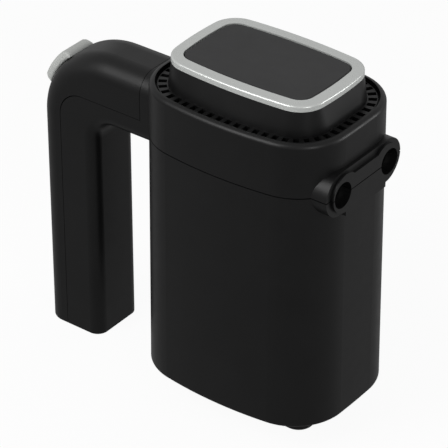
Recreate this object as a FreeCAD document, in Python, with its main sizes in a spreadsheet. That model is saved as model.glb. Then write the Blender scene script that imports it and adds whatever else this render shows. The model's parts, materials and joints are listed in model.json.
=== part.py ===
"""Cordless hand mixer, parked upright on its heel.

Frame: +Z up, origin on the floor under the middle of the heel foot. +X runs from the handle to
the beater sockets and +Y to the far side. Millimetres. The mixer is named as it stands: its top
is the front of the mixer in use, and the sockets on +X point down in use.
"""
import FreeCAD, Part
import math
import os
import re
import Sketcher
from FreeCAD import Placement, Rotation, Vector

SIZES = """
foot_tall 15        : floor to the lower rim of the body
foot_long 78        : heel foot along X
foot_wide 44
foot_corner 8
pad_thick 1.5       : rubber pad under the heel foot
pad_long 58
pad_wide 26
pad_corner 6
half_x 54.4         : body at its lower rim, centre to the +X face
half_y 41.6         : centre to the side faces
corner 28.3
side_bow 208        : radius of the gently bowed side faces
face_bow 455        : radius of the bowed +X and -X faces
draft 0.4           : degrees the body narrows towards its front
wall 2.4
seam_up 128         : lower rim to the seam between the two housings
seam_gap 0.5
rim_up 156          : lower rim to the front housing's rim
rim_round 2.6
base_round 1.4
rim_wall 3.9        : width of the rim at its crest
ledge_wall 5.3      : width of the inner ledge that carries the vent ring
ledge_down 4.2      : rim crest down to the ledge
ledge_thick 2.5
vent_thick 2.7
vent_inset 12.2     : body side to the inner edge of the vent ring
vent_count 56
vent_slot_long 4
vent_slot_wide 2.7
fit 0.15            : gap round pieces set into one another
cap_inset 8.9       : body side to the foot of the front cap
cap_wall 2.4
ring_up 167         : lower rim to the underside of the bezel ring
ring_tall 3
ring_half_x 42.5
ring_half_y 28.6
ring_corner 13.5
ring_side_bow 289
ring_face_bow 169
ring_wide 5.8
ring_round 1
window_gap 0.35
window_thick 2.8
window_seat 3
boss_front 56.6     : centre to the front plane of the socket boss
boss_flange 1.5     : front plane back to the flange behind it
boss_half 29.5      : half length of the flange
boss_radius 11.2
boss_step 1.2       : flange edge to plate edge
boss_root 44
socket_radius 6.5
spindle_radius 5
spindle_recess 6.9  : boss front plane back to the spindle's mouth
spindle_back 22     : centre back to the spindles' rear ends
beater_radius 3.3
beater_deep 25.7
pin_bore 2.6
pin_radius 2.2
notch_wide 1.6
notch_deep 3
running 0.05        : radial running clearance of shafts
seat_gap 0.02       : radial gap of pieces fixed to their shaft or seat
worm_radius 4.5     : pitch radius
worm_starts 3
worm_thread 1.15    : thread width at the pitch radius
worm_long 22
gear_module 0.9
wheel_teeth 31
wheel_face 7
wheel_tooth 1.0     : tooth width at the pitch circle
addendum 0.72
dedendum 1.05
flank 0.55          : narrowing of a tooth or thread from root to tip
wheel_hub 7.6
plate_up 97         : lower rim to the gear frame's lower plate
plate_thick 3
plate_past_post 2.5  : plate past the centres of its posts
plate_past_side 0.5
cheek_near 13       : centre to the inner faces of the frame's cheeks
cheek_thick 4
cheek_half_y 28
cheek_tall 43.6
bridge_thick 3
bridge_half_y 11
bush_wall 2.5
leg_ring 20.8       : motor legs' distance from the shaft
leg_radius 2
shaft_radius 2.5
can_radius 23
can_wall 1.4
can_low 27          : lower rim to the motor's end bell
can_tall 58
bell_thick 4
magnet_thick 2.6
air_gap 0.8
core_low 15         : end bell to the armature core
core_tall 30
slot_count 10
comm_radius 7.5
comm_low 6
comm_tall 7
brush_wide 4
fan_radius 17.6
fan_tall 7
fan_blades 9
bearing_radius 7
bearing_tall 4
cell_radius 9.1
cell_long 65
cell_pitch 18.7
cell_count 3
tray_wall 1.5
strip_thick 0.4
board_thick 1.6
post_off_x 35.7     : screw posts of the rear housing
post_off_y 14
post_radius 2.7
screw_radius 1.2
head_radius 2.2
head_tall 1.6
post_in_x 14.9      : front posts in from the body's +X and -X faces
post_in_y 14.1      : and from its side faces
front_post_r 2.9
bend_x -86.2        : centre of the handle's bend
bend_up 105.5         : lower rim to the centre of the bend
bend_outer 41
bend_inner 11
grip_inner -92      : finger side of the grip
handle_under 5.5      : bend centre up to the underside of the arm
handle_half 16
handle_round 10.5   : outer long edges of the handle
finger_round 6      : long edges on the finger side
handle_wall 2.4
collar_x -63        : end of the handle cover
parting_up 123      : lower rim to the level stretch of the handle parting
parting_x -113      : upright stretch of the handle parting
parting_bend 14
root_wall 4.5
wire_hole 3.2
knob_low 20.5         : degrees above -X about the bend's centre
knob_high 51.5
knob_half 8.7
knob_base 40.9
knob_top 45.6
knob_round 1.6
knob_end_round 3.4  : where the knob's ends curve down to the handle
knob_angle 36
speed_swing 14      : degrees of speed travel
press 2.2           : eject travel of the knob
press_ratio 1.24    : eject rod travel over knob travel
well_side 0.5
well_end 1.2        : play past the knob's ends, which tilt as it goes in
well_floor 38.3
well_wall 2
stem_half 3
stem_low 21
carriage_top 35.8
carriage_wall 2.6
carriage_low 23.4
carriage_half 9
collar_radius 30.6
collar_thick 1.4
shoe_outer 20.5
shoe_wall 6
shoe_half 4
rod_radius 3
yoke_long 4
yoke_gap 2.3
speed_board_in 16
speed_board_out 31
inlet_up 20         : lower rim to the charging inlet
inlet_half 4.5
inlet_radius 1.6
inlet_deep 7
end_screw_y 8       : handle screws from the middle
speed_board_thick 1.4
contact_thick 1.5   : wiper on the carriage's side
peg_ring 23         : pegs of the speed board about the bend's centre
peg_radius 1.2
spring_hole 0.9     : wire thickness of the knob's spring
display_long 60     : board under the front cap
display_wide 34
display_drop 5
display_pin_x 26
display_pin_y 14
digit_pitch 13
digit_half 3        : bars of a digit, half their length across
digit_line 1.2
digit_rise 6
digit_tall 3
control_wide 48     : upright board beside the motor
control_tall 46
board_foot 2.4      : feet that carry it from the housing wall
board_foot_long 2
board_foot_tall 8
board_foot_up 28
inlet_edge 0.35
tongue_thick 0.6
collar_out 1.4      : collar past the stem
"""

doc = FreeCAD.newDocument("hand_mixer")
dims = doc.addObject("Spreadsheet::Sheet", "dims")
NAMES = [line.split()[0] for line in SIZES.strip().splitlines()]
for row, line in enumerate(SIZES.strip().splitlines(), 1):
    name, value = line.split()[:2]
    dims.set("A%d" % row, name)
    dims.set("B%d" % row, value)
    dims.setAlias("B%d" % row, name)
doc.recompute()

# Heights used by several pieces, as text that FreeCAD's expressions work out.
SEAM = "(foot_tall + seam_up)"
RIM = "(foot_tall + rim_up)"
RING = "(foot_tall + ring_up)"
PLATE = "(foot_tall + plate_up)"
MESH = "(worm_radius + gear_module * wheel_teeth / 2)"
CAN = "(foot_tall + can_low)"
BEND = "(foot_tall + bend_up)"
POST_X = "(half_x - post_in_x)"
POST_Y = "(half_y - post_in_y)"
FLOOR = "(foot_tall + wall)"
MOUTH = "(boss_front - spindle_recess)"
ROD_UP = "(%s + shoe_outer - rod_radius)" % BEND
SCREW_UP = "(foot_tall + seam_up - 8)"
SCREW_HEAD = "(-half_x + wall + (seam_up - 8) * tan(draft * 1deg) + fit)"
CELL = "(foot_tall + wall + tray_wall + cell_radius + fit)"
NODES = []


def bound(text):
    """Point each size named in the text at its cell."""
    return re.sub(r"[a-z_]+", lambda word: "dims." + word[0] if word[0] in NAMES else word[0], text)


def size(text):
    value = dims.evalExpression(bound(text))
    return float(getattr(value, "Value", value))


def bind(thing, prop, text):
    thing.setExpression(prop, bound(text))


def node(thing, label):
    """Make a finished object the sub-part of that name."""
    thing.Label = label
    NODES.append(thing)
    return thing


# ---- Part primitives and booleans -------------------------------------------------------------
AIM = {"Z": Rotation(), "X": Rotation(Vector(0, 1, 0), 90), "Y": Rotation(Vector(1, 0, 0), -90)}


def put(thing, at, aim="Z"):
    thing.Placement = Placement(Vector(), AIM[aim])
    for axis, text in zip("xyz", at):
        bind(thing, "Placement.Base." + axis, text)
    return thing


def rod(radius, length, at=("0", "0", "0"), aim="Z"):
    """Cylinder standing on the point at, along the positive axis named by aim."""
    thing = doc.addObject("Part::Cylinder", "rod")
    bind(thing, "Radius", radius)
    bind(thing, "Height", length)
    return put(thing, at, aim)


def block(low, lengths):
    thing = doc.addObject("Part::Box", "block")
    for prop, text in zip(("Length", "Width", "Height"), lengths):
        bind(thing, prop, text)
    return put(thing, low)


def fuse(*things):
    thing = doc.addObject("Part::MultiFuse", "fuse")
    thing.Shapes = list(things)
    thing.Refine = True
    return thing


def cut(base, *tools):
    thing = doc.addObject("Part::Cut", "cut")
    thing.Base = base
    thing.Tool = tools[0] if len(tools) == 1 else fuse(*tools)
    return thing


def common(first, second):
    thing = doc.addObject("Part::Common", "common")
    thing.Base = first
    thing.Tool = second
    return thing


def group(*things):
    thing = doc.addObject("Part::Compound", "group")
    thing.Links = list(things)
    return thing


def tube(outer, inner, length, at, aim="Z"):
    return cut(rod(outer, length, at, aim), rod(inner, length, at, aim))


def mirrored(text, sign):
    return "-(" + text + ")" if sign < 0 else text


def four(x_text, y_text, make):
    """One piece at each corner of a rectangle about the origin."""
    return [make(mirrored(x_text, a), mirrored(y_text, b)) for a in (1, -1) for b in (1, -1)]


# ---- PartDesign bodies and their sketches -------------------------------------------------------
def new_body(at=("0", "0", "0")):
    return put(doc.addObject("PartDesign::Body", "body"), at)


def sketch(body, role, offset="0"):
    """Sketch on one of the body's own planes, moved along that plane's normal."""
    made = body.newObject("Sketcher::SketchObject", "sketch")
    plane = [item for item in body.Origin.OriginFeatures if item.Role == role][0]
    made.AttachmentSupport = [(plane, "")]
    made.MapMode = "FlatFace"
    bind(made, "AttachmentOffset.Base.z", offset)
    return made


def fix(made, kind, where, text):
    """Add a dimension to a sketch and bind it to the sheet."""
    number = made.addConstraint(Sketcher.Constraint(kind, *where, size(text)))
    bind(made, "Constraints[%d]" % number, text)


def pad(body, made, length, taper=None, both=False, backwards=False):
    thing = body.newObject("PartDesign::Pad", "pad")
    thing.Profile = made
    bind(thing, "Length", length)
    thing.SideType = "Symmetric" if both else "One side"
    thing.Reversed = backwards
    if taper:
        bind(thing, "TaperAngle", taper)
    return thing


def rounded(body, base, radius, wanted):
    """Fillet the edges for which wanted(edge) is true."""
    doc.recompute()
    edges = ["Edge%d" % i for i, edge in enumerate(base.Shape.Edges, 1) if wanted(edge)]
    thing = body.newObject("PartDesign::Fillet", "fillet")
    thing.Base = (base, edges)
    bind(thing, "Radius", radius)
    return thing


def arc(centre, radius, start, end):
    return Part.ArcOfCircle(Part.Circle(centre, Vector(0, 0, 1), radius), start, end)


def bowed(made, half_x, half_y, corner, side, face):
    """Centred rectangle with bowed sides: eight tangent arcs."""
    hx, hy, rc, rs, rf = (size(text) for text in (half_x, half_y, corner, side, face))
    side_c = Vector(0, hy - rs)
    face_c = Vector(hx - rf, 0)
    span = face_c - side_c
    along = ((rs - rc) ** 2 - (rf - rc) ** 2 + span.Length ** 2) / (2 * span.Length)
    aside = math.sqrt((rs - rc) ** 2 - along ** 2)
    step = Vector(span.x, span.y) / span.Length
    middle = side_c + step * along
    corner_c = max((middle + Vector(-step.y, step.x) * w for w in (aside, -aside)), key=lambda p: p.x)
    top = math.atan2(corner_c.y - side_c.y, corner_c.x)
    low = math.atan2(corner_c.y, corner_c.x - face_c.x)
    flip = Vector(-corner_c.x, corner_c.y)
    turn = math.pi
    made.addGeometry([
        arc(face_c, rf, -low, low), arc(corner_c, rc, low, top),
        arc(side_c, rs, top, turn - top), arc(flip, rc, turn - top, turn - low),
        arc(-face_c, rf, turn - low, turn + low), arc(-corner_c, rc, turn + low, turn + top),
        arc(-side_c, rs, turn + top, 2 * turn - top), arc(-flip, rc, 2 * turn - top, 2 * turn - low)])
    for i in range(8):
        made.addConstraint(Sketcher.Constraint("Tangent", i, 2, (i + 1) % 8, 1))
    for i, text in enumerate((face, corner, side, corner) * 2):
        fix(made, "Radius", (i,), text)
    for i, axis in ((0, -1), (4, -1), (2, -2), (6, -2)):
        made.addConstraint(Sketcher.Constraint("PointOnObject", i, 3, axis))
    fix(made, "DistanceX", (0, 3, -1, 1), "%s - (%s)" % (face, half_x))
    fix(made, "DistanceX", (-1, 1, 4, 3), "%s - (%s)" % (face, half_x))
    fix(made, "DistanceY", (2, 3, -1, 1), "%s - (%s)" % (side, half_y))
    fix(made, "DistanceY", (-1, 1, 6, 3), "%s - (%s)" % (side, half_y))
    return made


def body_outline(made, inset="0"):
    inward = " - (%s)" % inset
    return bowed(made, *(text + inward for text in ("half_x", "half_y", "corner", "side_bow", "face_bow")))


def ring_outline(made, inset="0"):
    inward = " - (%s)" % inset
    names = ("ring_half_x", "ring_half_y", "ring_corner", "ring_side_bow", "ring_face_bow")
    return bowed(made, *(text + inward for text in names))


def outline(made, corners):
    """Closed outline through corner points (x, y, radius), with None for a sharp corner."""
    points = [Vector(size(x), size(y)) for x, y, _ in corners]
    count = len(points)
    starts, ends = [], []
    for i in range(count):
        before = (points[i - 1] - points[i]).normalize()
        after = (points[(i + 1) % count] - points[i]).normalize()
        trim = 0
        if corners[i][2]:
            trim = size(corners[i][2]) / math.tan(before.getAngle(after) / 2)
        ends.append(points[i] + before * trim)
        starts.append(points[i] + after * trim)
    for i in range(count):
        made.addGeometry(Part.LineSegment(starts[i], ends[(i + 1) % count]))
    for i, (x, y, radius) in enumerate(corners):
        previous = (i - 1) % count
        if not radius:
            made.addConstraint(Sketcher.Constraint("Coincident", previous, 2, i, 1))
            fix(made, "DistanceX", (-1, 1, i, 1), x)
            fix(made, "DistanceY", (-1, 1, i, 1), y)
            continue
        inward = (ends[i] - points[i]).normalize() + (starts[i] - points[i]).normalize()
        reach = (ends[i] - points[i]).Length
        far = math.hypot(reach, size(radius))
        centre = points[i] + inward.normalize() * far
        a = math.atan2(ends[i].y - centre.y, ends[i].x - centre.x)
        b = math.atan2(starts[i].y - centre.y, starts[i].x - centre.x)
        leftward = (points[i] - ends[i]).cross(starts[i] - points[i]).z > 0
        bend = made.addGeometry(arc(centre, size(radius), *((a, b) if leftward else (b, a))))
        first, last = (1, 2) if leftward else (2, 1)
        made.addConstraint(Sketcher.Constraint("Tangent", previous, 2, bend, first))
        made.addConstraint(Sketcher.Constraint("Tangent", bend, last, i, 1))
        fix(made, "Radius", (bend,), radius)
        mark = made.addGeometry(Part.Point(points[i]), True)
        fix(made, "DistanceX", (-1, 1, mark, 1), x)
        fix(made, "DistanceY", (-1, 1, mark, 1), y)
        made.addConstraint(Sketcher.Constraint("PointOnObject", mark, 1, previous))
        made.addConstraint(Sketcher.Constraint("PointOnObject", mark, 1, i))
    return made


def rectangle(made, half_x, half_y, corner):
    return outline(made, [(mirrored(half_x, a), mirrored(half_y, b), corner)
                          for a, b in ((1, 1), (-1, 1), (-1, -1), (1, -1))])


def sector(made, inner, outer, low, high):
    """Piece of a ring about the sketch's origin, from low to high degrees above -X."""
    a, b = (math.radians(180 - size(text)) for text in (high, low))
    ri, ro = size(inner), size(outer)
    made.addGeometry([arc(Vector(), ri, a, b), arc(Vector(), ro, a, b)])
    for angle in (a, b):
        ray = Vector(math.cos(angle), math.sin(angle))
        made.addGeometry(Part.LineSegment(ray * ri, ray * ro))
    for line, point, text in ((2, 1, high), (3, 2, low)):
        made.addConstraint(Sketcher.Constraint("Coincident", line, 1, 0, point))
        made.addConstraint(Sketcher.Constraint("Coincident", line, 2, 1, point))
        number = made.addConstraint(Sketcher.Constraint("Angle", line, math.radians(180 - size(text))))
        bind(made, "Constraints[%d]" % number, "(180 - (%s)) * 1deg" % text)
    for bow in (0, 1):
        made.addConstraint(Sketcher.Constraint("Coincident", bow, 3, -1, 1))
    fix(made, "Radius", (0,), inner)
    fix(made, "Radius", (1,), outer)
    return made


def circle(made, radius):
    made.addGeometry(Part.Circle(Vector(), Vector(0, 0, 1), size(radius)))
    made.addConstraint(Sketcher.Constraint("Coincident", 0, 3, -1, 1))
    fix(made, "Radius", (0,), radius)
    return made


def prism(draw, role, offset, length, both=False, backwards=False, at=("0", "0", "0")):
    """Body with one pad of the outline that draw(sketch) makes."""
    body = new_body(at)
    pad(body, draw(sketch(body, role, offset)), length, both=both, backwards=backwards)
    return body


def obround(half, radius, back, front, height):
    """Slot-shaped solid lying along Y, from back to front along X."""
    middle = block((back, "-(%s - %s)" % (half, radius), "%s - %s" % (height, radius)),
                   ("%s - (%s)" % (front, back), "2 * (%s - %s)" % (half, radius), "2 * (%s)" % radius))
    ends = [rod(radius, "%s - (%s)" % (front, back), (back, mirrored("%s - %s" % (half, radius), sign),
                                                      height), "X") for sign in (1, -1)]
    return fuse(middle, *ends)


# ---- Body shells ----------------------------------------------------------------------------------
def tapered(low, high, inset):
    body = new_body()
    pad(body, body_outline(sketch(body, "XY_Plane", low), inset), "%s - %s" % (high, low), "-draft * 1deg")
    return body


def body_envelope():
    body = tapered("foot_tall", RIM, "0")
    solid = body.Tip
    rim, base = size(RIM), size("foot_tall")
    top = rounded(body, solid, "rim_round", lambda edge: abs(edge.CenterOfMass.z - rim) < 0.01)
    rounded(body, top, "base_round", lambda edge: abs(edge.CenterOfMass.z - base) < 0.01)
    return body


def housings():
    """Both housings come from one shell, parted by the seam that crosses the socket boss."""
    flange = obround("boss_half", "boss_radius", "boss_root", "boss_front - boss_flange", SEAM)
    plate = obround("boss_half - boss_step", "boss_radius - boss_step", "boss_root", "boss_front", SEAM)
    ledge = "(%s - ledge_down)" % RIM
    hollow = tapered(FLOOR, "(%s - ledge_thick)" % ledge, "wall")
    throat = tapered("(%s - ledge_thick - 1)" % ledge, "(%s + 1)" % ledge, "ledge_wall")
    mouth = tapered(ledge, "(%s + 1)" % RIM, "rim_wall")
    sockets = [rod("socket_radius", "boss_front - half_x + 20 * wall",
                   ("half_x - 15 * wall", mirrored(MESH, sign), SEAM), "X") for sign in (1, -1)]
    rod_hole = rod("wire_hole", "4 * wall", ("-half_x - wall", "0", ROD_UP), "X")
    inlet = obround("inlet_half + fit", "inlet_radius + fit", "-half_x - wall", "-half_x + 4 * wall",
                    "foot_tall + inlet_up")
    hollows = cut(fuse(hollow, throat, mouth), backing())
    shell = cut(fuse(body_envelope(), flange, plate), hollows, *sockets, rod_hole, inlet,
                *handle_screw_rods("screw_radius + fit"))
    reach = "4 * half_x"
    low_half = block(("-2 * half_x", "-2 * half_x", "0"), (reach, reach, SEAM + " - seam_gap / 2"))
    high_half = block(("-2 * half_x", "-2 * half_x", SEAM + " + seam_gap / 2"), (reach, reach, "half_x"))
    posts = four("post_off_x", "post_off_y", lambda x, y: rod(
        "post_radius", PLATE + " - foot_tall - wall / 2", (x, y, "foot_tall + wall / 2")))
    holes = four("post_off_x", "post_off_y", lambda x, y: rod(
        "screw_radius + fit", PLATE, (x, y, "foot_tall - 1")))
    node(cut(fuse(common(shell, low_half), *posts), *holes), "rear_housing")
    pillars = four(POST_X, POST_Y, lambda x, y: rod(
        "front_post_r", ledge + " - ledge_thick / 2 - " + PLATE + " - plate_thick",
        (x, y, PLATE + " + plate_thick")))
    pilots = four(POST_X, POST_Y, lambda x, y: rod(
        "screw_radius", "12", (x, y, PLATE)))
    node(cut(fuse(common(shell, high_half), *pillars), *pilots), "front_housing")


def backing():
    """Wall left standing behind the boss, so that the socket holes stay lined."""
    return obround("boss_half", "boss_radius", MOUTH + " - 1", "boss_front", SEAM)




# ---- Front end: vents, cap, bezel, window, display -----------------------------------------------
def slot_cutters(low, tall):
    """Boxes square to the bowed outline, evenly spaced along it, between cap and rim."""
    made = Part.Wire(Part.__sortEdges__(VENT_PATH.Shape.Edges))
    half_long, wide = size("vent_slot_long") / 2, size("vent_slot_wide")
    boxes = []
    for point in made.discretize(Number=int(size("vent_count")) + 1)[:-1]:
        edge = min(made.Edges, key=lambda item: item.distToShape(Part.Vertex(point))[0])
        across = edge.Curve.Center - point
        across.z = 0
        across.normalize()
        box = Part.makeBox(2 * half_long, wide, tall, Vector(-half_long, -wide / 2, 0))
        turn = Rotation(Vector(1, 0, 0), across)
        box.Placement = Placement(Vector(point.x, point.y, low), turn)
        boxes.append(box)
    return Part.makeCompound(boxes)


def vent_ring():
    """Slotted ring on the rim's ledge, and the solid that cuts its slots."""
    global VENT_PATH
    low = "(%s - ledge_down)" % RIM
    outer = prism(lambda made: body_outline(made, NARROW + " + rim_wall + fit"), "XY_Plane", low,
                  "vent_thick")
    inner = prism(lambda made: body_outline(made, NARROW + " + vent_inset"), "XY_Plane", low,
                  "vent_thick")
    path_body = new_body()
    middle = NARROW + " + (rim_wall + cap_inset) / 2 + 0.2 * fit"
    VENT_PATH = body_outline(sketch(path_body, "XY_Plane", low), middle)
    pad(path_body, VENT_PATH, "1")
    doc.recompute()
    slots = doc.addObject("Part::Feature", "vent_slots")
    slots.Shape = slot_cutters(size(low) - 1, size("vent_thick") + 2)
    node(cut(cut(outer, inner), slots), "vent_ring")


NARROW = "rim_up * tan(draft * 1deg)"


def front_cap():
    """Convex cap from the vent ring up to the bezel, open under the window."""
    low = "(%s - ledge_down + vent_thick)" % RIM
    body = new_body()
    foot = body_outline(sketch(body, "XY_Plane", low), NARROW + " + cap_inset")
    top = ring_outline(sketch(body, "XY_Plane", RING), "0.2")
    loft = body.newObject("PartDesign::AdditiveLoft", "loft")
    loft.Profile = foot
    loft.Sections = [top]
    hollow = new_body()
    floor_in = body_outline(sketch(hollow, "XY_Plane", low + " - 1"), NARROW + " + cap_inset + cap_wall")
    lid_in = ring_outline(sketch(hollow, "XY_Plane", RING + " - cap_wall"), "cap_wall + 0.8")
    scoop = hollow.newObject("PartDesign::AdditiveLoft", "loft")
    scoop.Profile = floor_in
    scoop.Sections = [lid_in]
    port = prism(lambda made: ring_outline(made, "ring_wide + window_seat"), "XY_Plane", RING + " - 6",
                 "8")
    node(cut(body, hollow, port), "front_cap")


def bezel_and_window():
    body = new_body()
    solid = pad(body, ring_outline(sketch(body, "XY_Plane", RING)), "ring_tall")
    top = size(RING + " + ring_tall")
    rounded(body, solid, "ring_round", lambda edge: abs(edge.CenterOfMass.z - top) < 0.01)
    inside = prism(lambda made: ring_outline(made, "ring_wide"), "XY_Plane", RING + " - 1",
                   "ring_tall + 2")
    node(cut(body, inside), "bezel_ring")
    node(prism(lambda made: ring_outline(made, "ring_wide + window_gap"), "XY_Plane", RING,
               "window_thick"), "front_window")


def display():
    board_up = "(%s - cap_wall - display_drop)" % RING
    above = board_up + " + board_thick"
    board = block(("-display_long / 2", "-display_wide / 2", board_up),
                  ("display_long", "display_wide", "board_thick"))
    post_holes = four("display_pin_x", "display_pin_y", lambda x, y: rod(
        "screw_radius + fit", "2 * board_thick", (x, y, board_up + " - board_thick / 2")))
    node(cut(board, *post_holes), "display_board")
    digits = []
    for column in (-1, 0, 1):
        centre = "%d * digit_pitch" % column
        for level in (-1, 0, 1):
            digits.append(block((centre + " - digit_half", "%d * digit_rise - digit_line / 2" % level, above),
                                ("2 * digit_half", "digit_line", "digit_tall")))
        for side in (-1, 1):
            for level in (-1, 1):
                digits.append(block((
                    centre + " + %d * (digit_half + 1) - digit_line / 2" % side,
                    "(%d - 1) * digit_rise / 2 + 0.8" % level, above),
                    ("digit_line", "digit_rise - 1.6", "digit_tall")))
    node(group(*digits), "display_digits")
    clips = four("display_pin_x", "display_pin_y", lambda x, y: rod(
        "screw_radius", "display_drop + cap_wall", (x, y, board_up)))
    node(group(*clips), "display_pins")


# ---- Heel ------------------------------------------------------------------------------------------
def heel():
    low = "pad_thick"
    half_x, half_y = "foot_long / 2", "foot_wide / 2"

    def plan(made, inset="0"):
        return rectangle(made, half_x + " - " + inset, half_y + " - " + inset, "foot_corner - " + inset)

    body = new_body()
    solid = pad(body, plan(sketch(body, "XY_Plane", low)), "foot_tall - pad_thick")
    base = size(low)
    rounded(body, solid, "base_round", lambda edge: abs(edge.CenterOfMass.z - base) < 0.01)
    inside = prism(lambda made: plan(made, "wall"), "XY_Plane", low + " + wall", "foot_tall")
    sleeves = four("post_off_x", "post_off_y", lambda x, y: rod(
        "post_radius + 0.4", "foot_tall - pad_thick - wall / 2", (x, y, "pad_thick + wall / 2")))
    holes = four("post_off_x", "post_off_y", lambda x, y: rod("screw_radius + fit", "foot_tall",
                                                              (x, y, "pad_thick")))
    sinks = four("post_off_x", "post_off_y", lambda x, y: rod(
        "head_radius + fit", "head_tall + fit", (x, y, "pad_thick")))
    foot = cut(fuse(cut(body, inside), common(fuse(*sleeves), envelope_foot(plan, low))), *holes, *sinks)
    node(foot, "heel_foot")
    node(prism(lambda made: rectangle(made, "pad_long / 2", "pad_wide / 2", "pad_corner"), "XY_Plane",
               "0", "pad_thick"), "heel_pad")


def envelope_foot(plan, low):
    return prism(plan, "XY_Plane", low, "foot_tall - pad_thick")


def long_screws():
    """Four screws from the heel through the posts into the gear frame."""
    screws = four("post_off_x", "post_off_y", lambda x, y: fuse(
        rod("screw_radius", PLATE + " + plate_thick - pad_thick", (x, y, "pad_thick")),
        rod("head_radius", "head_tall", (x, y, "pad_thick"))))
    node(group(*screws), "heel_screws")


# ---- Handle ----------------------------------------------------------------------------------------
def handle_profile(made, inset="0", root="-half_x + 6"):
    """Side view of the arm, its bend and the grip, drawn in X and Z."""
    top = "%s + bend_outer - (%s)" % (BEND, inset)
    under = "%s + handle_under + (%s)" % (BEND, inset)
    outer = "bend_x - bend_outer + (%s)" % inset
    inner = "grip_inner - (%s)" % inset
    foot = inset
    return outline(made, [(root, under, None), (root, top, None),
                          (outer, top, "bend_outer - (%s)" % inset), (outer, foot, None),
                          (inner, foot, None), (inner, under, "bend_inner + (%s)" % inset)])


def handle_solid(inset, root):
    body = new_body()
    solid = pad(body, handle_profile(sketch(body, "XZ_Plane"), inset, root),
                "2 * (handle_half - (%s))" % inset, both=True)
    half = size("handle_half - (%s)" % inset)
    foot, end = size(inset) + 1, size(root) - 0.1
    finger_x, finger_z = size("(parting_x + grip_inner) / 2"), size(BEND + " + bend_outer / 2")

    def on_side(edge):
        at = edge.CenterOfMass
        return abs(abs(at.y) - half) < 0.01 and edge.BoundBox.ZMax > foot and at.x < end

    def finger_side(edge):
        return edge.CenterOfMass.x > finger_x and edge.CenterOfMass.z < finger_z

    outer = rounded(body, solid, "handle_round - (%s)" % inset,
                    lambda edge: on_side(edge) and not finger_side(edge))
    rounded(body, outer, "finger_round - (%s)" % inset,
            lambda edge: on_side(edge) and finger_side(edge))
    return body


def parting(made, shift):
    """Region of the cover in side view, moved outwards from the parting by shift."""
    right = "collar_x - (%s)" % shift
    level = "foot_tall + parting_up + (%s)" % shift
    upright = "parting_x - (%s)" % shift
    far = "bend_x - 2 * bend_outer"
    high = "%s + 2 * bend_outer" % BEND
    return outline(made, [(right, high, None), (far, high, None), (far, "-10", None),
                          (upright, "-10", None), (upright, level, "parting_bend - (%s)" % shift),
                          (right, level, None)])


def handle_screw_rods(radius):
    """Shanks, or holes for them, from inside the -X wall into the handle's root."""
    back = "(-half_x - root_wall + 1)"
    return [rod(radius, "%s + fit - %s" % (SCREW_HEAD, back), (back, y, SCREW_UP), "X")
            for y in ("end_screw_y", "-end_screw_y")]


def handle():
    full = cut(handle_solid("0", "-half_x + 6"), tapered("0.5 * foot_tall", "(%s + 20)" % RIM, "-fit"))
    inside = handle_solid("handle_wall", "-half_x - root_wall")
    rod_hole = rod("wire_hole", "30", ("-half_x - 20", "0", ROD_UP), "X")
    screw_holes = handle_screw_rods("screw_radius")
    wide = "3 * handle_half"
    cover_side = prism(lambda made: parting(made, "seam_gap / 4"), "XZ_Plane", "0", wide, both=True)
    shell_side = prism(lambda made: parting(made, "-seam_gap / 4"), "XZ_Plane", "0", wide, both=True)
    hollow = cut(full, inside, rod_hole, *screw_holes)
    node(cut(hollow, shell_side), "handle_shell")
    at = ("bend_x", "0", BEND)
    low, high = "knob_low - speed_swing", "knob_high"
    pad_side = "57.3 * well_end / knob_base"
    well = prism(lambda made: sector(made, "well_floor", "knob_top + 4", low + " - " + pad_side,
                                     high + " + " + pad_side),
                 "XZ_Plane", "0", "2 * (knob_half + well_side)", both=True, at=at)
    lining = prism(lambda made: sector(made, "well_floor - well_wall", "bend_outer - handle_wall / 2",
                                       low + " - 4", high + " + 4"),
                   "XZ_Plane", "0", "2 * (knob_half + well_side + 1)", both=True, at=at)
    slot = prism(lambda made: sector(made, "stem_low", "knob_top",
                                     "knob_angle - speed_swing - 6", "knob_angle + 6"),
                 "XZ_Plane", "0", "2 * (stem_half + well_side)", both=True, at=at)
    cover = cut(fuse(common(hollow, cover_side), lining), well, slot)
    node(cover, "handle_cover")
    heads = [rod("head_radius", "head_tall", (SCREW_HEAD, y, SCREW_UP), "X")
             for y in ("end_screw_y", "-end_screw_y")]
    screws = [fuse(shank, head) for shank, head in zip(handle_screw_rods("screw_radius"), heads)]
    node(group(*screws), "handle_screws")


# ---- Thumb control and ejector ---------------------------------------------------------------------
AT_BEND = ("bend_x", "0", BEND)


def radial(inner, outer, half_across, half_y):
    """Bar along the knob's press direction, from inner to outer radius about the bend."""
    body = new_body(AT_BEND)
    body.Placement = Placement(Vector(), Rotation(Vector(0, 1, 0), size("knob_angle")))
    for axis, text in zip("xyz", AT_BEND):
        bind(body, "Placement.Base." + axis, text)
    made = outline(sketch(body, "XZ_Plane"), [
        ("-(%s)" % inner, "-(%s)" % half_across, None), ("-(%s)" % inner, half_across, None),
        ("-(%s)" % outer, half_across, None), ("-(%s)" % outer, "-(%s)" % half_across, None)])
    pad(body, made, "2 * (%s)" % half_y, both=True)
    return body


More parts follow.
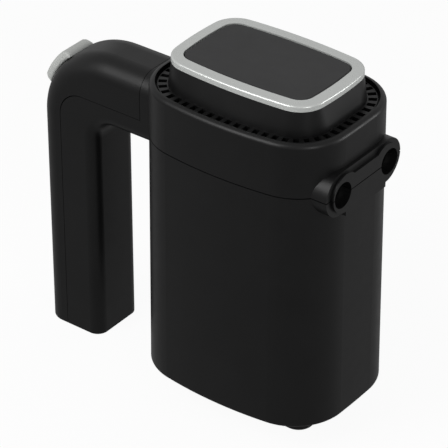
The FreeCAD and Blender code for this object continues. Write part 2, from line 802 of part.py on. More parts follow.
def thumb_knob():
    body = new_body(AT_BEND)
    solid = pad(body, sector(sketch(body, "XZ_Plane"), "knob_base", "knob_top", "knob_low", "knob_high"),
                "2 * knob_half", both=True)
    top = size("knob_top")
    half = size("knob_half")

    def at_top(edge):
        return min(math.hypot(v.X, v.Z) for v in edge.Vertexes) > top - 0.01

    ends = rounded(body, solid, "knob_end_round",
                   lambda edge: at_top(edge) and abs(edge.CenterOfMass.y) < 0.01)
    rounded(body, ends, "knob_round", lambda edge: abs(abs(edge.CenterOfMass.y) - half) < 0.01
            and math.hypot(edge.CenterOfMass.x, edge.CenterOfMass.z) > size("knob_base + 1"))
    stem = radial("stem_low", "knob_base + 1", "stem_half", "stem_half")
    collar = radial("collar_radius", "collar_radius + collar_thick", "stem_half + collar_out",
                    "stem_half + collar_out")
    node(fuse(body, stem, collar), "thumb_knob")


def speed_carriage():
    """Cradle that swings about the bend's centre and guides the knob's stem."""
    low, high = "knob_angle - 15", "knob_angle + 15"
    wide = "2 * carriage_half"
    whole = prism(lambda made: sector(made, "carriage_low", "carriage_top", low, high), "XZ_Plane", "0",
                  wide, both=True, at=AT_BEND)
    window = prism(lambda made: sector(made, "carriage_low + carriage_wall",
                                       "carriage_top - carriage_wall", "knob_angle - 11",
                                       "knob_angle + 11"), "XZ_Plane", "0", "3 * carriage_half",
                   both=True, at=AT_BEND)
    guide = radial("stem_low - 2", "knob_base", "stem_half + 2 * running", "stem_half + 2 * running")
    node(cut(whole, window, guide), "speed_carriage")
    node(prism(lambda made: sector(made, "carriage_top - carriage_wall", "carriage_top - 0.4",
                                   "knob_angle - 6", "knob_angle + 6"), "XZ_Plane",
               "-carriage_half - contact_thick", "contact_thick", at=AT_BEND), "speed_contact")
    board = prism(lambda made: sector(made, "speed_board_in", "speed_board_out", "15", "68"),
                  "XZ_Plane", "-carriage_half - contact_thick - 0.3 - speed_board_thick",
                  "speed_board_thick", at=AT_BEND)
    pegs = [rod("peg_radius", "handle_half - handle_wall - fit - carriage_half - contact_thick * 2",
                ("bend_x - peg_ring * cos(%ddeg)" % a, "carriage_half + contact_thick * 2",
                 BEND + " + peg_ring * sin(%ddeg)" % a), "Y")
            for a in (24, 58)]
    node(fuse(board, *pegs), "speed_board")
    spring_low = "carriage_low + carriage_wall"
    bore, outside = "stem_half + collar_out - spring_hole", "stem_half + collar_out"
    spring = cut(radial(spring_low, "collar_radius", outside, outside),
                 radial(spring_low + " - 1", "collar_radius + 1", bore, bore))
    node(spring, "knob_spring")


def ejector():
    """Shoe under the stem, rod through the body's wall, and a yoke with a pin in each spindle."""
    shoe = prism(lambda made: sector(made, "shoe_outer - shoe_wall", "shoe_outer",
                                        "knob_angle - speed_swing - 9", "95"),
                 "XZ_Plane", "0", "2 * shoe_half", both=True, at=AT_BEND)
    yoke_x = "-(spindle_back + yoke_gap + press * press_ratio + yoke_long)"
    bar = rod("rod_radius", "%s - bend_x + yoke_long / 2" % yoke_x, ("bend_x", "0", ROD_UP), "X")
    yoke = block((yoke_x, "-(%s + pin_radius)" % MESH, ROD_UP + " - rod_radius"),
                 ("yoke_long", "2 * (%s + pin_radius)" % MESH, SEAM + " + pin_radius - %s + rod_radius"
                  % ROD_UP))
    pins = [rod("pin_radius", "%s - beater_deep - 0.5 - (%s)" % (MOUTH, yoke_x),
                (yoke_x, mirrored(MESH, sign), SEAM), "X") for sign in (1, -1)]
    node(fuse(shoe, bar, yoke, *pins), "ejector_rod")
    node(tube("rod_radius + 2.2", "rod_radius + 0.4", "%s + half_x - wall - 2" % yoke_x,
              ("-half_x + wall + 1", "0", ROD_UP), "X"), "ejector_spring")


# ---- Gear train ------------------------------------------------------------------------------------
def spindle(label, sign):
    y = mirrored(MESH, sign)
    bar = rod("spindle_radius", MOUTH + " + spindle_back", ("-spindle_back", y, SEAM), "X")
    beater = rod("beater_radius", "beater_deep + 1", (MOUTH + " - beater_deep", y, SEAM), "X")
    narrow = rod("pin_bore", MOUTH + " + spindle_back", ("-spindle_back - 1", y, SEAM), "X")
    notch = block((MOUTH + " - notch_deep", "%s - 2 * spindle_radius" % y, SEAM + " - notch_wide / 2"),
                  ("2 * notch_deep", "4 * spindle_radius", "notch_wide"))
    node(cut(bar, beater, narrow, notch), label)


def tooth(made, centre, width, narrow, root, tip):
    """Tapered tooth standing out along the sketch's X axis."""
    return outline(made, [(root, "%s - (%s) / 2" % (centre, width), None),
                          (tip, "%s - (%s - %s) / 2" % (centre, width, narrow), None),
                          (tip, "%s + (%s - %s) / 2" % (centre, width, narrow), None),
                          (root, "%s + (%s) / 2" % (centre, width), None)])


def worm_wheel(label, sign):
    """Helical wheel on its spindle; the wheel at -Y has a gap where the one at +Y has a tooth."""
    body = new_body(("0", mirrored(MESH, sign), SEAM))
    pitch = "gear_module * wheel_teeth / 2"
    disc = circle(sketch(body, "YZ_Plane", "-wheel_face / 2"), pitch + " - dedendum")
    pad(body, disc, "wheel_face")
    made = sketch(body, "YZ_Plane", "-wheel_face / 2")
    turn = 180.0 if sign > 0 else 180.0 / size("wheel_teeth")
    lean = "worm_starts * gear_module / (2 * worm_radius)"
    made.AttachmentOffset = Placement(made.AttachmentOffset.Base, Rotation(Vector(0, 0, 1), turn))
    bind(made, "AttachmentOffset.Base.z", "-wheel_face / 2")
    shift = "wheel_face / 2 * %s" % lean
    tooth(made, "-(%s)" % shift, "wheel_tooth + flank / 2", "flank", pitch + " - dedendum - 0.3",
          pitch + " + addendum")
    one = pad(body, made, "wheel_face")
    one.UseCustomVector = True
    angle = math.radians(turn)
    rise = size(lean)
    one.Direction = Vector(1, -math.sin(angle) * rise, math.cos(angle) * rise)
    one.AlongSketchNormal = True
    ring = body.newObject("PartDesign::PolarPattern", "pattern")
    ring.Originals = [one]
    ring.Axis = ([item for item in body.Origin.OriginFeatures if item.Role == "X_Axis"][0], [""])
    ring.Angle = 360
    bind(ring, "Occurrences", "wheel_teeth")
    body.Tip = ring
    hub = rod("wheel_hub", "2 * (cheek_near - 0.3)", ("-(cheek_near - 0.3)", mirrored(MESH, sign), SEAM),
              "X")
    bore = rod("spindle_radius + seat_gap", "4 * cheek_near",
               ("-2 * cheek_near", mirrored(MESH, sign), SEAM), "X")
    node(cut(fuse(body, hub), bore), label)


def worm_shaft():
    """Motor shaft with the three-start worm cut on it."""
    lead = "worm_starts * gear_module * pi"
    body = new_body(("0", "0", SEAM))
    core = circle(sketch(body, "XY_Plane", "-worm_long / 2"), "worm_radius - dedendum")
    pad(body, core, "worm_long")
    made = sketch(body, "XZ_Plane")
    start = "-(%s) - gear_module * pi / 4" % lead
    tooth(made, start, "worm_thread + flank / 2", "flank", "worm_radius - dedendum - 0.3",
          "worm_radius + addendum")
    thread = body.newObject("PartDesign::AdditiveHelix", "thread")
    thread.Profile = made
    thread.ReferenceAxis = (made, ["V_Axis"])
    thread.Mode = 0
    bind(thread, "Pitch", lead)
    bind(thread, "Height", "2 * " + lead)
    ring = body.newObject("PartDesign::PolarPattern", "pattern")
    ring.Originals = [thread]
    ring.Axis = ([item for item in body.Origin.OriginFeatures if item.Role == "Z_Axis"][0], [""])
    ring.Angle = 360
    bind(ring, "Occurrences", "worm_starts")
    body.Tip = ring
    low = "(%s + bell_thick / 2)" % CAN
    top = "(%s + plate_thick + cheek_tall + bridge_thick / 2)" % PLATE
    node(fuse(body, rod("shaft_radius", "%s - %s" % (top, low), ("0", "0", low))), "worm_shaft")


def gear_frame():
    """Plate across the housing with two cheeks for the spindles and a bridge over the worm."""
    plate_x = "(%s + plate_past_post)" % POST_X
    plate_y = "(%s + plate_past_side)" % POST_Y
    plate = block(("-" + plate_x, "-" + plate_y, PLATE), ("2 * " + plate_x, "2 * " + plate_y, "plate_thick"))
    ears = four(POST_X, POST_Y, lambda x, y: rod("front_post_r", "plate_thick", (x, y, PLATE)))
    cheeks = [block((x, "-cheek_half_y", PLATE), ("cheek_thick", "2 * cheek_half_y",
                                                  "plate_thick + cheek_tall"))
              for x in ("cheek_near", "-cheek_near - cheek_thick")]
    bridge = block(("-cheek_near - cheek_thick", "-bridge_half_y", PLATE + " + plate_thick + cheek_tall"),
                   ("2 * (cheek_near + cheek_thick)", "2 * bridge_half_y", "bridge_thick"))
    legs = [rod("leg_radius", PLATE + " - %s - can_tall" % CAN,
                ("leg_ring * cos(%ddeg)" % a, "leg_ring * sin(%ddeg)" % a, CAN + " + can_tall"))
            for a in (60, 120, 240, 300)]
    bush_holes = [rod("spindle_radius + bush_wall", "4 * cheek_near",
                      ("-2 * cheek_near", mirrored(MESH, sign), SEAM), "X") for sign in (1, -1)]
    shaft_hole = rod("worm_radius + 2", "2 * plate_thick", ("0", "0", PLATE + " - plate_thick / 2"))
    top_hole = rod("shaft_radius + running", "10", ("0", "0", PLATE + " + plate_thick + cheek_tall - 1"))
    rod_slot = rod("rod_radius + 2.6", "10", ("-cheek_near - cheek_thick - 5", "0", ROD_UP), "X")
    screw_holes = four("post_off_x", "post_off_y", lambda x, y: rod(
        "screw_radius", "8", (x, y, PLATE + " - 1")))
    ear_holes = four(POST_X, POST_Y, lambda x, y: rod(
        "screw_radius + fit", "8", (x, y, PLATE + " - 1")))
    leg_holes = [rod("0.9", PLATE, ("leg_ring * cos(%ddeg)" % a, "leg_ring * sin(%ddeg)" % a, CAN))
                 for a in (60, 240)]
    node(cut(fuse(plate, bridge, *cheeks, *ears, *legs), *bush_holes, shaft_hole, top_hole, rod_slot,
             *screw_holes, *ear_holes, *leg_holes), "gear_frame")
    bushes = [tube("spindle_radius + bush_wall", "spindle_radius + running", "cheek_thick",
                   (x, mirrored(MESH, sign), SEAM), "X")
              for x in ("cheek_near", "-cheek_near - cheek_thick") for sign in (1, -1)]
    node(group(*bushes), "spindle_bushes")
    screws = four(POST_X, POST_Y, lambda x, y: fuse(
        rod("screw_radius", "10", (x, y, PLATE + " - head_tall")),
        rod("head_radius", "head_tall", (x, y, PLATE + " - head_tall"))))
    node(group(*screws), "frame_screws")
    motor_screws = [fuse(rod("0.9", PLATE + " + plate_thick - %s - can_tall + 1" % CAN,
                             ("leg_ring * cos(%ddeg)" % a, "leg_ring * sin(%ddeg)" % a,
                              CAN + " + can_tall - 1")),
                         rod("1.8", "head_tall", ("leg_ring * cos(%ddeg)" % a,
                                                  "leg_ring * sin(%ddeg)" % a, PLATE + " + plate_thick")))
                    for a in (60, 240)]
    node(group(*motor_screws), "motor_screws")


# ---- Motor -----------------------------------------------------------------------------------------
def motor():
    top = "(%s + can_tall)" % CAN
    inner = "can_radius - can_wall"
    can = rod("can_radius", "can_tall - bell_thick", ("0", "0", CAN + " + bell_thick"))
    hollow = rod(inner, "can_tall - bell_thick - can_wall", ("0", "0", CAN + " + bell_thick"))
    seat = rod("bearing_radius + fit", "bearing_tall + 2", ("0", "0", top + " - bearing_tall - 1"))
    cup = rod("bearing_radius + 1.4", "bearing_tall", ("0", "0", top + " - bearing_tall"))
    taps = [rod("0.9", "4", ("leg_ring * cos(%ddeg)" % a, "leg_ring * sin(%ddeg)" % a, top + " - 3"))
            for a in (60, 240)]
    node(cut(fuse(cut(can, hollow), cup), seat, *taps), "motor_can")
    bell = rod("can_radius", "bell_thick", ("0", "0", CAN))
    low_seat = rod("bearing_radius + fit", "bearing_tall", ("0", "0", CAN + " + 1"))
    node(cut(bell, low_seat), "motor_endbell")
    bearings = [tube("bearing_radius", "shaft_radius + running", length, ("0", "0", low))
                for low, length in ((CAN + " + 1", "bell_thick - 1"),
                                    (top + " - bearing_tall", "bearing_tall"))]
    node(group(*bearings), "motor_bearings")
    magnet_low = CAN + " + bell_thick + core_low - 2"
    ring = tube(inner + " - 2 * seat_gap", inner + " - magnet_thick", "core_tall + 4", ("0", "0", magnet_low))
    gap = block(("-can_radius", "-3", magnet_low), ("2 * can_radius", "6", "core_tall + 4"))
    node(cut(ring, gap), "motor_magnets")
    core_radius = "can_radius - can_wall - magnet_thick - air_gap"
    core = rod(core_radius, "core_tall", ("0", "0", CAN + " + bell_thick + core_low"))
    slots = [rod("1.8", "core_tall", ("(%s - 2) * cos(%ddeg)" % (core_radius, a),
                                      "(%s - 2) * sin(%ddeg)" % (core_radius, a),
                                      CAN + " + bell_thick + core_low"))
             for a in range(0, 360, int(360 / size("slot_count")))]
    bore = rod("shaft_radius + seat_gap", "core_tall", ("0", "0", CAN + " + bell_thick + core_low"))
    node(cut(core, *slots, bore), "armature")
    comm_at = ("0", "0", CAN + " + bell_thick + comm_low")
    node(tube("comm_radius", "shaft_radius + seat_gap", "comm_tall", comm_at), "commutator")
    brushes = [block((x, "-brush_wide / 2", CAN + " + bell_thick"),
                     (inner + " - comm_radius - 0.1 - 2 * fit", "brush_wide", "comm_low + comm_tall - 1"))
               for x in ("comm_radius + 0.1", "-(%s) + 2 * fit" % inner)]
    node(group(*brushes), "brushes")
    fan()


def fan():
    low = "(%s + can_tall + 2)" % CAN
    disc = rod("fan_radius", "1.4", ("0", "0", low))
    hub = rod("5", "fan_tall", ("0", "0", low))
    blades = []
    for i in range(int(size("fan_blades"))):
        blade = block(("4", "-0.6", low), ("fan_radius - 4.4", "1.2", "fan_tall"))
        blade.Placement = Placement(Vector(), Rotation(Vector(0, 0, 1), 360.0 * i / size("fan_blades")))
        turn = "%d * 360deg / fan_blades" % i
        bind(blade, "Placement.Base.x", "4 * cos(%s) + 0.6 * sin(%s)" % (turn, turn))
        bind(blade, "Placement.Base.y", "4 * sin(%s) - 0.6 * cos(%s)" % (turn, turn))
        bind(blade, "Placement.Base.z", low)
        blades.append(blade)
    bore = rod("shaft_radius + seat_gap", "3 * fan_tall", ("0", "0", low + " - fan_tall"))
    node(cut(fuse(disc, hub, *blades), bore), "fan")


# ---- Battery and electronics -----------------------------------------------------------------------
def battery():
    rows = range(int(size("cell_count")))
    middle = "(cell_count - 1) / 2"
    cells = [rod("cell_radius", "cell_long", ("-cell_long / 2", "(%d - %s) * cell_pitch" % (i, middle),
                                              CELL), "X") for i in rows]
    node(group(*cells), "battery_cells")
    half = "(cell_count * cell_pitch / 2 + 0.6)"
    tray = block(("-cell_long / 2 + 4", "-" + half, FLOOR),
                 ("cell_long - 8", "2 * " + half, "tray_wall + cell_radius"))
    beds = [rod("cell_radius + fit", "2 * cell_long", ("-cell_long", "(%d - %s) * cell_pitch"
                                                       % (i, middle), CELL), "X") for i in rows]
    node(cut(tray, *beds), "battery_tray")
    strips = [block((x, "-%s + 8" % half, CELL + " - 3"), ("strip_thick", "2 * %s - 16" % half, "6"))
              for x in ("cell_long / 2", "-cell_long / 2 - strip_thick")]
    node(group(*strips), "cell_strips")


def electronics():
    wall_at = ("(half_y - wall - control_wide * control_wide / (8 * side_bow)"
               " - 40 * tan(draft * 1deg) - fit)")
    behind = "(%s - board_foot_long)" % wall_at
    y = "(%s - board_thick)" % behind
    low = "(%s + 2)" % CAN
    board = block(("-control_wide / 2", y, low), ("control_wide", "board_thick", "control_tall"))
    node(board, "control_board")
    parts = [block((x, y + " - 3", "%s + %s" % (low, up)), (wide, "3", tall))
             for x, up, wide, tall in (("-20", "6", "9", "9"), ("8", "8", "11", "6"),
                                       ("-6", "30", "12", "8"))]
    node(group(*parts), "board_parts")
    ribs = [block((x, behind, FLOOR + " + board_foot_up"),
                  ("board_foot", "board_foot_long", "board_foot_tall"))
            for x in ("-control_wide / 2 + 1", "control_wide / 2 - 1 - board_foot")]
    node(group(*ribs), "board_feet")
    up = "foot_tall + inlet_up"
    body = obround("inlet_half", "inlet_radius", "-half_x + 0.4", "-half_x + inlet_deep + 2", up)
    mouth = obround("inlet_half - inlet_edge", "inlet_radius - inlet_edge", "-half_x",
                    "-half_x + inlet_deep", up)
    tongue = block(("-half_x + 1.4", "-inlet_half + 1.6", up + " - tongue_thick / 2"),
                   ("inlet_deep", "2 * inlet_half - 3.2", "tongue_thick"))
    node(fuse(cut(body, mouth), tongue), "charge_inlet")


def check_and_write():
    doc.recompute()
    for thing in doc.Objects:
        for state in ("Invalid", "Error"):
            if state in thing.State:
                raise RuntimeError("%s %s is %s" % (thing.Name, thing.Label, thing.State))
    os.makedirs("parts", exist_ok=True)
    for thing in NODES:
        if thing.Shape.isNull() or not thing.Shape.isValid():
            raise RuntimeError(thing.Label + " has no valid shape")
    for thing in NODES:
        thing.Shape.exportStep("parts/%s.step" % thing.Label)
        print("%-16s %2d solids %10.1f mm3" % (thing.Label, len(thing.Shape.Solids), thing.Shape.Volume))


housings()
vent_ring()
front_cap()
bezel_and_window()
display()
heel()
long_screws()
handle()
thumb_knob()
speed_carriage()
ejector()
gear_frame()
for side, way in (("near", -1), ("far", 1)):
    spindle("spindle_" + side, way)
    worm_wheel("gear_" + side, way)
worm_shaft()
motor()
battery()
electronics()
check_and_write()
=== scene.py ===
"""Cordless hand mixer standing on its heel: finishes, the ribbed thumb control, light and camera."""
import json
import math
import bmesh
import bpy
from mathutils import Matrix, Vector

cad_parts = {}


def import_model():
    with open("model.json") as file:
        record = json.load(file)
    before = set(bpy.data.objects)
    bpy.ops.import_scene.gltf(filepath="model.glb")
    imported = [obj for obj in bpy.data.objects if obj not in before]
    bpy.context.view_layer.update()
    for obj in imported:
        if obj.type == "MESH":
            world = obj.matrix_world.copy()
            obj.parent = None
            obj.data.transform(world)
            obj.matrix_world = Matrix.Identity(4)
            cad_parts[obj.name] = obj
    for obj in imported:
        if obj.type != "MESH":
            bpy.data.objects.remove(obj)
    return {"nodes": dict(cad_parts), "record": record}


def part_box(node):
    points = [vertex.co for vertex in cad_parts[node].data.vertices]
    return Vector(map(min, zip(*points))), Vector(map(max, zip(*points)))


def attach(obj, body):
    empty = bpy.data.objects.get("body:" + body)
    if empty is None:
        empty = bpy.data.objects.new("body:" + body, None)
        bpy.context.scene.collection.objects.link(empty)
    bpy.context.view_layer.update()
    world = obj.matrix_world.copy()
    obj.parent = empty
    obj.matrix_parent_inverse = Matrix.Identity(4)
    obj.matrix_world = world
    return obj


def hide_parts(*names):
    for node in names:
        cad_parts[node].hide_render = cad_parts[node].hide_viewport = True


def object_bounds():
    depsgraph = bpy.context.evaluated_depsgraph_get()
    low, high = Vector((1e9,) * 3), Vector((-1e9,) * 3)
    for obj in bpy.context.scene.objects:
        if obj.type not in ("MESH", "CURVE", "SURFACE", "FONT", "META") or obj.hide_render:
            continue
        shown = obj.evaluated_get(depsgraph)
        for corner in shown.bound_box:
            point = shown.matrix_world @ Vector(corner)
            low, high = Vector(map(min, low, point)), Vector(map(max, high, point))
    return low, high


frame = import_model()
cad_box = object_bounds()
MM = 0.001


# ---- Materials ------------------------------------------------------------------------------------
def start(name):
    made = bpy.data.materials.new(name)
    made.use_nodes = True
    shader = made.node_tree.nodes["Principled BSDF"]
    return made, made.node_tree, shader


def noise(tree, scale, detail=4.0, stretch=(1, 1, 1)):
    """Noise over the piece's own coordinates, in noise cells per metre."""
    place = tree.nodes.new("ShaderNodeTexCoord")
    fit = tree.nodes.new("ShaderNodeMapping")
    fit.inputs["Scale"].default_value = stretch
    made = tree.nodes.new("ShaderNodeTexNoise")
    made.inputs["Scale"].default_value = scale
    made.inputs["Detail"].default_value = detail
    tree.links.new(place.outputs["Object"], fit.inputs["Vector"])
    tree.links.new(fit.outputs["Vector"], made.inputs["Vector"])
    return made.outputs["Fac"]


def between(tree, factor, low, high, target):
    """Drive a socket from low to high by a texture."""
    if isinstance(low, (int, float)):
        scale = tree.nodes.new("ShaderNodeMapRange")
        scale.inputs["From Min"].default_value = 0.3
        scale.inputs["From Max"].default_value = 0.7
        scale.inputs["To Min"].default_value = low
        scale.inputs["To Max"].default_value = high
        tree.links.new(factor, scale.inputs["Value"])
        tree.links.new(scale.outputs["Result"], target)
        return
    ramp = tree.nodes.new("ShaderNodeValToRGB")
    ramp.color_ramp.elements[0].position = 0.3
    ramp.color_ramp.elements[1].position = 0.7
    ramp.color_ramp.elements[0].color = (*low, 1)
    ramp.color_ramp.elements[1].color = (*high, 1)
    tree.links.new(factor, ramp.inputs["Fac"])
    tree.links.new(ramp.outputs["Color"], target)


def bump(tree, shader, factor, depth, strength=1.0):
    made = tree.nodes.new("ShaderNodeBump")
    made.inputs["Distance"].default_value = depth
    made.inputs["Strength"].default_value = strength
    tree.links.new(factor, made.inputs["Height"])
    tree.links.new(made.outputs["Normal"], shader.inputs["Normal"])


def moulded(name, colour, rough, grain=2600, depth=0.00002, level=0.5, spread=0.12, **fixed):
    """Moulded plastic: fine even grain, faint cloudiness in colour and gloss."""
    made, tree, shader = start(name)
    cloud = noise(tree, 45)
    low = tuple(c * (1 - spread) for c in colour)
    high = tuple(c * (1 + spread) for c in colour)
    between(tree, cloud, low, high, shader.inputs["Base Color"])
    between(tree, noise(tree, 160, 6), rough - 0.03, rough + 0.03, shader.inputs["Roughness"])
    bump(tree, shader, noise(tree, grain, 2), depth, 0.6)
    shader.inputs["Specular IOR Level"].default_value = level
    for socket, value in fixed.items():
        shader.inputs[socket.replace("_", " ")].default_value = value
    return made


def metal(name, colour, rough, stretch=(1, 1, 30), depth=0.000012):
    """Metal with fine drawn lines and uneven polish."""
    made, tree, shader = start(name)
    lines = noise(tree, 900, 3, stretch)
    low = tuple(c * 0.93 for c in colour)
    high = tuple(min(1, c * 1.05) for c in colour)
    between(tree, lines, low, high, shader.inputs["Base Color"])
    between(tree, noise(tree, 120, 4), rough - 0.04, rough + 0.05, shader.inputs["Roughness"])
    bump(tree, shader, lines, depth, 0.5)
    shader.inputs["Metallic"].default_value = 1.0
    return made


MATERIALS = {
    "body_black": moulded("body_black", (0.0040, 0.0040, 0.0041), 0.37, 2400, 0.000014, 0.26),
    "bezel_silver": moulded("bezel_silver", (0.56, 0.575, 0.56), 0.28, 3000, 0.00001, 0.6, 0.02,
                            Metallic=0.35),
    "window_dark": moulded("window_dark", (0.026, 0.026, 0.0265), 0.42, 3400, 0.000006, 0.2, 0.04),
    "knob_grey": moulded("knob_grey", (0.42, 0.43, 0.415), 0.55, 2200, 0.00002, 0.4, 0.04),
    "rubber": moulded("rubber", (0.02, 0.02, 0.02), 0.75, 1500, 0.00004, 0.3),
    "steel": metal("steel", (0.62, 0.62, 0.61), 0.30),
    "spring_steel": metal("spring_steel", (0.45, 0.45, 0.46), 0.35),
    "white_nylon": moulded("white_nylon", (0.72, 0.71, 0.66), 0.5, 1800, 0.00002, 0.45, 0.03),
    "cast_frame": metal("cast_frame", (0.52, 0.53, 0.54), 0.55, (1, 1, 1), 0.00004),
    "bronze": metal("bronze", (0.60, 0.38, 0.18), 0.40),
    "core_iron": metal("core_iron", (0.16, 0.16, 0.17), 0.50, (1, 1, 60)),
    "carbon": moulded("carbon", (0.03, 0.03, 0.03), 0.6),
    "cell_wrap": moulded("cell_wrap", (0.07, 0.20, 0.36), 0.35, 900, 0.00001, 0.5, 0.05),
    "nickel": metal("nickel", (0.60, 0.57, 0.50), 0.33),
    "circuit_board": moulded("circuit_board", (0.02, 0.14, 0.05), 0.38, 700, 0.00002, 0.5, 0.2),
    "chip_black": moulded("chip_black", (0.015, 0.015, 0.016), 0.5),
    "led_white": moulded("led_white", (0.55, 0.55, 0.53), 0.5, 1500, 0.00001, 0.4, 0.04),
}

SLOT_OF = {item["node"]: item["material_slot"] for item in frame["record"]["subparts"]}


def paint(piece, slot_name):
    if not piece.material_slots:
        piece.data.materials.append(MATERIALS[slot_name])
    for place in piece.material_slots:
        place.material = MATERIALS[slot_name]


for label, piece in frame["nodes"].items():
    paint(piece, SLOT_OF[label])


# ---- Pieces modelled here ---------------------------------------------------------------------------
def solid(name, points, faces, body, slot_name, stands_for=()):
    """Closed smooth-shaded mesh that rides on a body."""
    mesh = bpy.data.meshes.new(name)
    mesh.from_pydata([tuple(p) for p in points], [], faces)
    piece = bpy.data.objects.new(name, mesh)
    bpy.context.scene.collection.objects.link(piece)
    shape = bmesh.new()
    shape.from_mesh(mesh)
    bmesh.ops.recalc_face_normals(shape, faces=shape.faces)
    shape.to_mesh(mesh)
    shape.free()
    mesh.polygons.foreach_set("use_smooth", [len(face.vertices) < 9 for face in mesh.polygons])
    paint(piece, slot_name)
    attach(piece, body)
    if stands_for:
        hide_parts(*stands_for)
    return piece


JOINTS = {item["name"]: item for item in frame["record"]["behaviour"]["joints"]}


def loft(rings):
    """Points and faces of a skin over rings of equal length, with both ends capped."""
    count = len(rings[0])
    points = [point for ring in rings for point in ring]
    faces = [(row * count + i, row * count + (i + 1) % count, (row + 1) * count + (i + 1) % count,
              (row + 1) * count + i) for row in range(len(rings) - 1) for i in range(count)]
    faces.append(tuple(range(count)))
    faces.append(tuple(range(len(points) - count, len(points))))
    return points, faces


def thumb_control():
    """Ribbed crescent under the thumb, with the stem that goes into the handle."""
    bend = Vector(JOINTS["speed"]["pos_m"])
    low_turn, high_turn = math.radians(20.5), math.radians(51.5)
    base, crown, half = 40.9 * MM, 45.3 * MM, 8.7 * MM
    edge, rib_pitch, rib_deep = 1.7 * MM, 1.45 * MM, 0.34 * MM
    low_end, high_end = 2.6 * MM, 4.5 * MM
    thin_end = 0.25 * MM
    middle_turn = math.radians(36)

    def place(turn, radius, y):
        return bend + Vector((-radius * math.cos(turn), y, radius * math.sin(turn)))

    long_way = (high_turn - low_turn) * crown
    rings, steps = [], 300
    for step in range(steps + 1):
        even = step / steps
        eased = 0.5 - 0.5 * math.cos(math.pi * even)
        along = (0.35 * eased + 0.65 * even) * long_way
        rise = 1.0
        if along < low_end:
            rise = math.sqrt(max(0.0, 1 - ((low_end - along) / low_end) ** 2))
        if along > long_way - high_end:
            rise = math.sqrt(max(0.0, 1 - ((along - long_way + high_end) / high_end) ** 2)) ** 1.15
        rib = 0.5 - 0.5 * math.cos(2 * math.pi * along / rib_pitch)
        inside = min(1.0, along / low_end, (long_way - along) / high_end)
        cut = rib_deep * (1 - rib ** 0.6) * inside
        tall = thin_end + (crown - base - thin_end) * rise - cut * rise
        soft = min(edge, tall * 0.8)
        wide = half - cut
        ring = [(-wide, base), (-wide, base + 0.5 * (tall - soft))]
        for k in range(9):
            a = math.pi / 2 * k / 8
            ring.append((-wide + soft * (1 - math.cos(a)), base + tall - soft * (1 - math.sin(a))))
        for k in range(1, 10):
            y = (-1 + 0.2 * k) * (wide - soft)
            ring.append((y, base + tall))
        ring += [(-y, r) for y, r in reversed(ring[:11])]
        turn = low_turn + along / crown
        rings.append([place(turn, r, y) for y, r in ring])
    points, faces = loft(rings)

    def section(radius, half_size, chamfer):
        marks = ((1, 1 - chamfer), (1 - chamfer, 1), (chamfer - 1, 1), (-1, 1 - chamfer),
                 (-1, chamfer - 1), (chamfer - 1, -1), (1 - chamfer, -1), (1, chamfer - 1))
        across = Vector((math.sin(middle_turn), 0, math.cos(middle_turn)))
        return [place(middle_turn, radius, 0) + across * a * half_size + Vector((0, b * half_size, 0))
                for a, b in marks]

    stem = ((21.0, 2.7), (21.3, 3.0), (40.95, 3.0))
    collar = ((30.6, 4.1), (30.9, 4.4), (31.7, 4.4), (32.0, 4.1))
    for sizes in (stem, collar):
        more, shut = loft([section(r * MM, h * MM, 0.2) for r, h in sizes])
        faces += [tuple(len(points) + i for i in face) for face in shut]
        points += more
    return solid("thumb_control", points, faces, "knob", "knob_grey", ("thumb_knob",))


def outline_at_top(label):
    """Corners of a piece's top face in order, and its height."""
    piece = frame["nodes"][label]
    spots = [piece.matrix_world @ v.co for v in piece.data.vertices]
    top = max(spot.z for spot in spots)
    flat = {(round(s.x, 7), round(s.y, 7)) for s in spots if s.z > top - 0.02 * MM}
    return sorted(flat, key=lambda p: math.atan2(p[1], p[0])), top


def window_plate():
    """Dark window with a rolled edge, so that a thin dark line parts it from the ring."""
    marks, top = outline_at_top("front_window")
    low_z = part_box("front_window")[0].z
    rings = []
    for inset, drop in ((0.35, None), (0.12, 1.3), (0.05, 0.9), (0.12, 0.55), (0.3, 0.27), (0.55, 0.09),
                        (0.85, 0.0)):
        z = low_z if drop is None else top - drop * MM
        ring = []
        for x, y in marks:
            long_way = math.hypot(x, y)
            ring.append(Vector((x, y, 0)) * (1 - inset * MM / long_way) + Vector((0, 0, z)))
        rings.append(ring)
    points, faces = loft(rings)
    return solid("window_plate", points, faces, "housing", "window_dark", ("front_window",))


thumb_control()
window_plate()


# ---- Stage, light and camera -------------------------------------------------------------------------
low, high = (Vector(corner) for corner in cad_box)
tall = high.z - low.z


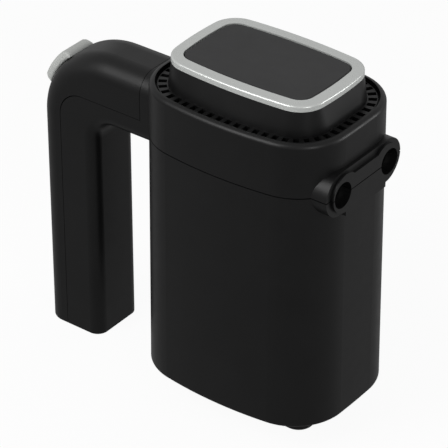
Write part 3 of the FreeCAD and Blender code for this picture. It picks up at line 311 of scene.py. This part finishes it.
def backdrop_material(name, strength, reflected):
    """White to the camera by the given share; reflected is its level in the object's gloss."""
    made = bpy.data.materials.new(name)
    made.use_nodes = True
    tree = made.node_tree
    tree.nodes.clear()
    out = tree.nodes.new("ShaderNodeOutputMaterial")
    matte = tree.nodes.new("ShaderNodeBsdfDiffuse")
    matte.inputs["Color"].default_value = (0.8, 0.8, 0.8, 1)
    glow = tree.nodes.new("ShaderNodeEmission")
    path = tree.nodes.new("ShaderNodeLightPath")
    seen = tree.nodes.new("ShaderNodeMath")
    seen.operation = "MAXIMUM"
    mirror = tree.nodes.new("ShaderNodeMath")
    mirror.operation = "MULTIPLY"
    mirror.inputs[1].default_value = reflected
    gloss = tree.nodes.new("ShaderNodeMath")
    gloss.operation = "MAXIMUM"
    blend = tree.nodes.new("ShaderNodeMixShader")
    show = tree.nodes.new("ShaderNodeMath")
    show.operation = "MAXIMUM"
    tree.links.new(path.outputs["Is Glossy Ray"], gloss.inputs[0])
    tree.links.new(path.outputs["Is Transmission Ray"], gloss.inputs[1])
    tree.links.new(gloss.outputs[0], mirror.inputs[0])
    tree.links.new(path.outputs["Is Camera Ray"], seen.inputs[0])
    tree.links.new(mirror.outputs[0], seen.inputs[1])
    tree.links.new(seen.outputs[0], glow.inputs["Strength"])
    tree.links.new(path.outputs["Is Camera Ray"], show.inputs[0])
    tree.links.new(gloss.outputs[0], show.inputs[1])
    keep = tree.nodes.new("ShaderNodeMath")
    keep.operation = "MULTIPLY"
    keep.inputs[1].default_value = strength
    tree.links.new(show.outputs[0], keep.inputs[0])
    tree.links.new(keep.outputs[0], blend.inputs["Fac"])
    tree.links.new(matte.outputs[0], blend.inputs[1])
    tree.links.new(glow.outputs[0], blend.inputs[2])
    tree.links.new(blend.outputs[0], out.inputs["Surface"])
    return made


def floor():
    mesh = bpy.data.meshes.new("floor")
    reach = 20 * tall
    mesh.from_pydata([(-reach, -reach, low.z), (reach, -reach, low.z), (reach, reach, low.z),
                      (-reach, reach, low.z)], [], [(0, 1, 2, 3)])
    piece = bpy.data.objects.new("floor", mesh)
    bpy.context.scene.collection.objects.link(piece)
    mesh.materials.append(backdrop_material("floor_white", 0.94, 0.30))


def world():
    """White to the camera, dimmer as a light and in the object's own gloss."""
    made = bpy.data.worlds.new("studio")
    made.use_nodes = True
    tree = made.node_tree
    back = tree.nodes["Background"]
    path = tree.nodes.new("ShaderNodeLightPath")
    gloss = tree.nodes.new("ShaderNodeMath")
    gloss.operation = "MAXIMUM"
    seen = tree.nodes.new("ShaderNodeMath")
    seen.operation = "MAXIMUM"
    level = tree.nodes.new("ShaderNodeMapRange")
    level.inputs["To Min"].default_value = 0.42
    level.inputs["To Max"].default_value = 1.0
    mirror = tree.nodes.new("ShaderNodeMath")
    mirror.operation = "MULTIPLY"
    mirror.inputs[1].default_value = 0.35
    tree.links.new(path.outputs["Is Glossy Ray"], gloss.inputs[0])
    tree.links.new(path.outputs["Is Transmission Ray"], gloss.inputs[1])
    tree.links.new(gloss.outputs[0], mirror.inputs[0])
    tree.links.new(path.outputs["Is Camera Ray"], seen.inputs[0])
    tree.links.new(mirror.outputs[0], seen.inputs[1])
    tree.links.new(seen.outputs[0], level.inputs["Value"])
    tree.links.new(level.outputs["Result"], back.inputs["Strength"])
    back.inputs["Color"].default_value = (1, 1, 1, 1)
    bpy.context.scene.world = made


def lamp(name, direction, distance, width, height, power):
    """Area lamp in units of the object's height, aimed at its middle."""
    data = bpy.data.lights.new(name, "AREA")
    data.shape = "RECTANGLE"
    data.size = width * tall
    data.size_y = height * tall
    data.energy = power
    piece = bpy.data.objects.new(name, data)
    middle = (low + high) / 2
    away = Vector(direction).normalized()
    piece.location = middle + away * distance * tall
    piece.rotation_euler = (-away).to_track_quat("-Z", "Y").to_euler()
    bpy.context.scene.collection.objects.link(piece)


def camera():
    """Long lens from the near +X side, looking down at the front cap."""
    turn, tilt = math.radians(37.26), math.radians(32.91)
    distance, lens, sensor = 1.3, 220.2, 36.0
    ahead = Vector((-math.sin(turn) * math.cos(tilt), math.cos(turn) * math.cos(tilt), -math.sin(tilt)))
    right = Vector((math.cos(turn), math.sin(turn), 0))
    up = right.cross(ahead)
    body_low, body_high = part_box("rear_housing")[0][2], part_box("bezel_ring")[1][2]
    target = Vector((0, 0, (body_low + body_high) / 2)) - 19.86 * MM * right - 3.37 * MM * up
    data = bpy.data.cameras.new("camera")
    data.lens = lens
    data.sensor_width = sensor
    piece = bpy.data.objects.new("camera", data)
    turned = Matrix((right, up, -ahead)).transposed().to_4x4()
    piece.matrix_world = Matrix.Translation(target - ahead * distance) @ turned
    bpy.context.scene.collection.objects.link(piece)
    bpy.context.scene.camera = piece


floor()
world()
lamp("key", (-0.35, -0.9, 0.8), 5.0, 3.0, 3.0, 5.0)
lamp("fill", (1.0, -0.5, 0.35), 6.0, 1.2, 3.0, 2.0)
lamp("rim", (1.0, 0.75, 0.1), 6.0, 2.0, 3.0, 4.0)
camera()
bpy.context.scene.view_settings.view_transform = "Standard"
